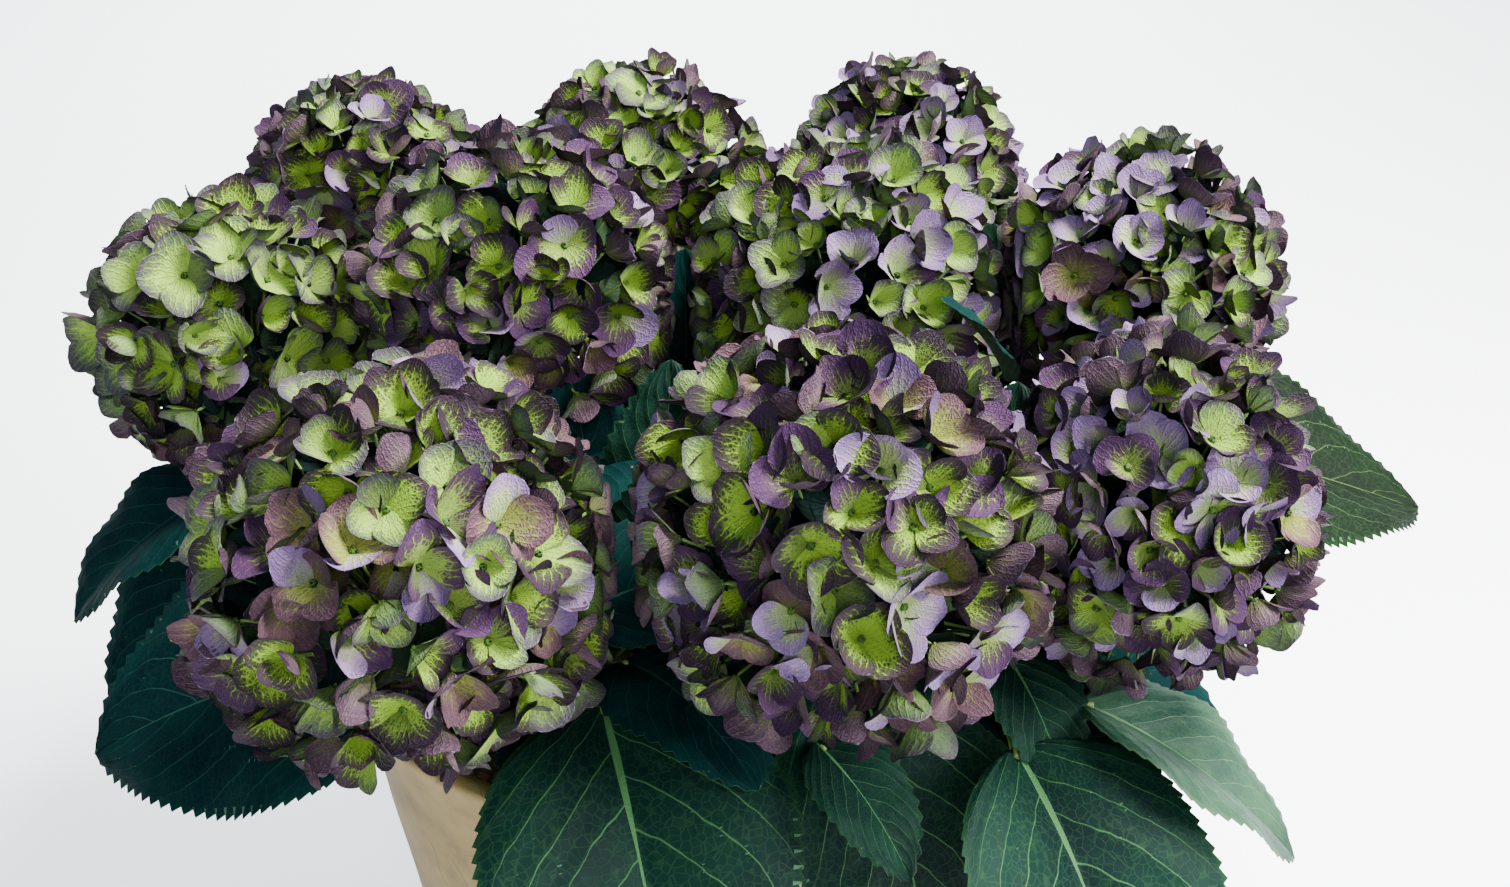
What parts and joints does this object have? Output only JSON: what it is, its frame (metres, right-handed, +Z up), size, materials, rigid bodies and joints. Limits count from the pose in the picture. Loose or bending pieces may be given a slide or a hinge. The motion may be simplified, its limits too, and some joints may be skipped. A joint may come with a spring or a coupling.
{
  "type": "potted hydrangea",
  "caption": "Potted hydrangea shrub with broad, toothed, dark green leaves and round mophead flower heads in green and purple, in a tall tapering cream pot.",
  "frame": {"origin": "centre of the pot's flat underside, on the floor", "axes": "+Z up through the pot's middle, -Y towards the front of the plant, +X towards its right as seen from the front"},
  "size_m": [0.8197, 0.6494, 0.638],
  "materials": {
    "pot": "matte",
    "soil": "rough",
    "cane": "rough",
    "leaf": "satin",
    "blossom": "matte"
  },
  "bodies": {
    "root": {"pot": "pot", "soil": "soil", "cane_back_left": "cane", "leafy_shoot_back_left": "leaf", "cane_back_middle": "cane", "leafy_shoot_back_middle": "leaf", "cane_back_right": "cane", "leafy_shoot_back_right": "leaf", "cane_middle_left": "cane", "leafy_shoot_middle_left": "leaf", "cane_inner_left": "cane", "leafy_shoot_inner_left": "leaf", "cane_inner_right": "cane", "leafy_shoot_inner_right": "leaf", "cane_middle_right": "cane", "leafy_shoot_middle_right": "leaf", "cane_front_left": "cane", "leafy_shoot_front_left": "leaf", "cane_front_middle": "cane", "leafy_shoot_front_middle": "leaf", "cane_front_right": "cane", "leafy_shoot_front_right": "leaf", "cane_front": "cane", "leafy_shoot_front": "leaf", "cane_right": "cane", "leafy_shoot_right": "leaf", "cane_rear_left": "cane", "leafy_shoot_rear_left": "leaf", "cane_rear_right": "cane", "leafy_shoot_rear_right": "leaf", "flower_head_back_left": "blossom", "flower_head_back_middle": "blossom", "flower_head_back_right": "blossom", "flower_head_middle_left": "blossom", "flower_head_inner_left": "blossom", "flower_head_inner_right": "blossom", "flower_head_middle_right": "blossom", "flower_head_front_left": "blossom", "flower_head_front_middle": "blossom", "flower_head_front_right": "blossom"}
  },
  "joints": []
}
